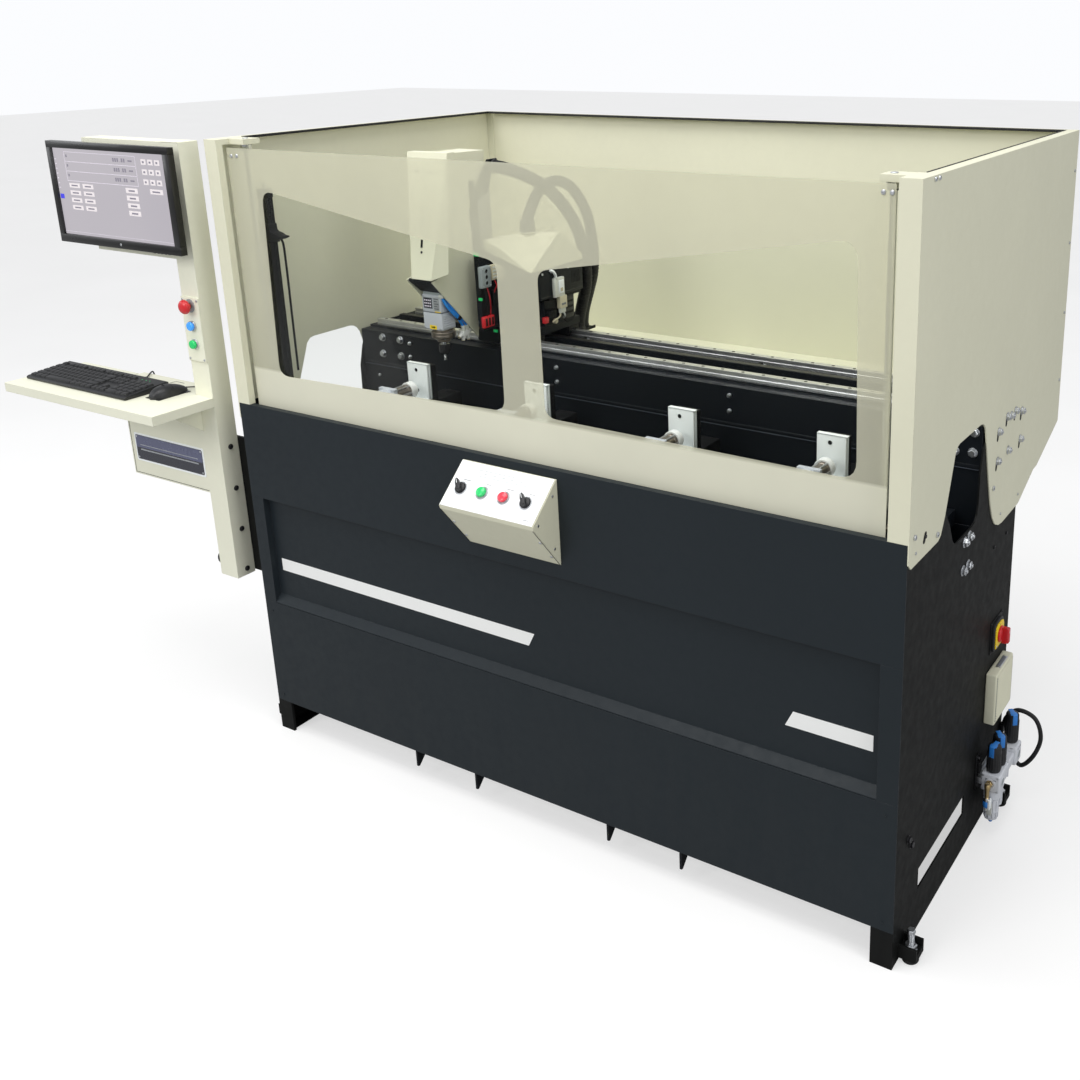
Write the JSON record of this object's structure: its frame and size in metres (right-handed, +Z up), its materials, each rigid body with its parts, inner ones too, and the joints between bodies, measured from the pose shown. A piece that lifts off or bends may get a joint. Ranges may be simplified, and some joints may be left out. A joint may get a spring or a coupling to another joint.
{
  "type": "profile machining centre",
  "caption": "Profile milling machine with a see-through lifting guard, a travelling milling head, bar clamps and an operator console beside it.",
  "frame": {"origin": "middle of the underside of the bounding box, on the floor", "axes": "+X along the base from the console to the air unit, +Y from the front guard to the back, +Z up"},
  "size_m": [2.932, 1.3282, 1.773],
  "materials": {
    "anthracite_paint": "satin powder coat",
    "black_paint": "satin powder coat",
    "cream_paint": "satin powder coat",
    "bright_steel": "ground",
    "clear_sheet": "polished",
    "guard_film": "satin film",
    "grey_casting": "satin",
    "bronze": "turned",
    "blue_plastic": "gloss",
    "green_plastic": "gloss",
    "red_plastic": "gloss",
    "black_plastic": "matt",
    "rubber": "matt"
  },
  "bodies": {
    "machine_frame": {"base_side_left": "anthracite_paint", "base_side_right": "anthracite_paint", "front_panel_upper": "anthracite_paint", "front_panel_middle": "anthracite_paint", "front_panel_lower": "anthracite_paint", "rear_panel": "anthracite_paint", "floor_frame": "black_paint", "bed_beam": "black_paint", "chip_tray": "black_paint", "enclosure_wall_left": "cream_paint", "enclosure_wall_right": "cream_paint", "enclosure_wall_rear": "cream_paint", "console_housing": "cream_paint", "console_shelf": "cream_paint", "control_box": "cream_paint", "vent_box": "cream_paint", "x_rail_front": "bright_steel", "x_rail_rear": "bright_steel", "guard_guide_rod_left": "bright_steel", "guard_guide_rod_right": "bright_steel", "frl_unit": "grey_casting", "guard_lift_cylinder": "black_plastic", "monitor": "black_plastic", "keyboard": "black_plastic", "air_hose_loop": "rubber"},
    "guard": {"guard_sheet": "clear_sheet", "guard_film": "guard_film", "guard_carrier": "black_paint"},
    "x_carriage": {"x_carriage": "black_paint", "x_carriage_cover": "cream_paint", "x_servo_motor": "black_paint", "cable_conduit_outer": "rubber", "cable_conduit_inner": "rubber"},
    "x_pinion": {"x_drive_pinion": "bright_steel"},
    "y_saddle": {"y_saddle": "black_paint"},
    "z_head": {"z_head_plate": "black_paint", "z_side_cover": "cream_paint", "z_head_cover": "cream_paint", "spindle_motor": "grey_casting", "spindle_nose": "bronze", "air_hose_set": "blue_plastic"},
    "spindle": {"cutting_tool": "bright_steel"},
    "clamp_1": {"clamp_1_station": "black_paint"},
    "clamp_1_ram": {"clamp_1_ram": "bright_steel"},
    "clamp_2": {"clamp_2_station": "black_paint"},
    "clamp_2_ram": {"clamp_2_ram": "bright_steel"},
    "clamp_3": {"clamp_3_station": "black_paint"},
    "clamp_3_ram": {"clamp_3_ram": "bright_steel"},
    "clamp_4": {"clamp_4_station": "black_paint"},
    "clamp_4_ram": {"clamp_4_ram": "bright_steel"},
    "selector_left": {"selector_left": "black_plastic"},
    "button_start": {"button_start": "green_plastic"},
    "button_stop": {"button_stop": "red_plastic"},
    "selector_right": {"selector_right": "black_plastic"},
    "console_estop": {"console_estop": "red_plastic"},
    "console_button_blue": {"console_button_blue": "blue_plastic"},
    "console_button_green": {"console_button_green": "green_plastic"},
    "main_switch_knob": {"main_switch_knob": "red_plastic"},
    "frl_regulator_knob": {"frl_regulator_knob": "black_plastic"},
    "mouse": {"mouse": "black_plastic"}
  },
  "joints": [
    {"name": "guard_lift", "type": "slide", "parent": "machine_frame", "child": "guard", "axis": [0, 0, 1], "range_m": [-0.69, 0]},
    {"name": "x_axis", "type": "slide", "parent": "machine_frame", "child": "x_carriage", "axis": [1, 0, 0], "range_m": [-0.1, 1.1]},
    {"name": "x_pinion_spin", "type": "hinge", "parent": "x_carriage", "child": "x_pinion", "pos_m": [-0.09251, 0.10725, 1.19], "axis": [0, 0, 1], "range_deg": [-230, 2470]},
    {"name": "y_axis", "type": "slide", "parent": "x_carriage", "child": "y_saddle", "axis": [0, 1, 0], "range_m": [-0.2, 0.04]},
    {"name": "z_axis", "type": "slide", "parent": "y_saddle", "child": "z_head", "axis": [0, 0, 1], "range_m": [-0.1, 0]},
    {"name": "spindle_spin", "type": "hinge", "parent": "z_head", "child": "spindle", "pos_m": [-0.18401, -0.12215, 1.18], "axis": [0, 0, 1], "continuous": true},
    {"name": "clamp_1_travel", "type": "slide", "parent": "machine_frame", "child": "clamp_1", "axis": [1, 0, 0], "range_m": [-0.15, 0.15]},
    {"name": "clamp_1_close", "type": "slide", "parent": "clamp_1", "child": "clamp_1_ram", "axis": [0, 1, 0], "range_m": [-0.05, 0.022]},
    {"name": "clamp_2_travel", "type": "slide", "parent": "machine_frame", "child": "clamp_2", "axis": [1, 0, 0], "range_m": [-0.15, 0.15]},
    {"name": "clamp_2_close", "type": "slide", "parent": "clamp_2", "child": "clamp_2_ram", "axis": [0, 1, 0], "range_m": [-0.05, 0.022]},
    {"name": "clamp_3_travel", "type": "slide", "parent": "machine_frame", "child": "clamp_3", "axis": [1, 0, 0], "range_m": [-0.15, 0.15]},
    {"name": "clamp_3_close", "type": "slide", "parent": "clamp_3", "child": "clamp_3_ram", "axis": [0, 1, 0], "range_m": [-0.05, 0.022]},
    {"name": "clamp_4_travel", "type": "slide", "parent": "machine_frame", "child": "clamp_4", "axis": [1, 0, 0], "range_m": [-0.15, 0.15]},
    {"name": "clamp_4_close", "type": "slide", "parent": "clamp_4", "child": "clamp_4_ram", "axis": [0, 1, 0], "range_m": [-0.05, 0.022]},
    {"name": "selector_left_turn", "type": "hinge", "parent": "machine_frame", "child": "selector_left", "pos_m": [0.21799, -0.52687, 0.97231], "axis": [0, -0.6754, 0.7375], "range_deg": [-45, 45]},
    {"name": "button_start_press", "type": "slide", "parent": "machine_frame", "child": "button_start", "axis": [0, -0.6754, 0.7375], "range_m": [-0.003, 0]},
    {"name": "button_stop_press", "type": "slide", "parent": "machine_frame", "child": "button_stop", "axis": [0, -0.6754, 0.7375], "range_m": [-0.003, 0]},
    {"name": "selector_right_turn", "type": "hinge", "parent": "machine_frame", "child": "selector_right", "pos_m": [0.41899, -0.52687, 0.97231], "axis": [0, -0.6754, 0.7375], "range_deg": [-45, 45]},
    {"name": "console_estop_press", "type": "slide", "parent": "machine_frame", "child": "console_estop", "axis": [0, 1, 0], "range_m": [0, 0.004]},
    {"name": "console_blue_press", "type": "slide", "parent": "machine_frame", "child": "console_button_blue", "axis": [0, 1, 0], "range_m": [0, 0.003]},
    {"name": "console_green_press", "type": "slide", "parent": "machine_frame", "child": "console_button_green", "axis": [0, 1, 0], "range_m": [0, 0.003]},
    {"name": "main_switch_turn", "type": "hinge", "parent": "machine_frame", "child": "main_switch_knob", "pos_m": [1.36199, 0.18985, 0.538], "axis": [1, 0, 0], "range_deg": [0, 90]},
    {"name": "frl_regulator_turn", "type": "hinge", "parent": "machine_frame", "child": "frl_regulator_knob", "pos_m": [1.38899, 0.11285, 0.2], "axis": [0, 0, 1], "range_deg": [-360, 360]},
    {"name": "mouse_slide", "type": "slide", "parent": "machine_frame", "child": "mouse", "axis": [1, 0, 0], "range_m": [-0.02, 0.03]}
  ],
  "couplings": [
    {"joint": "x_pinion_spin", "follows": "x_axis", "rad_per_m": 39.062}
  ]
}
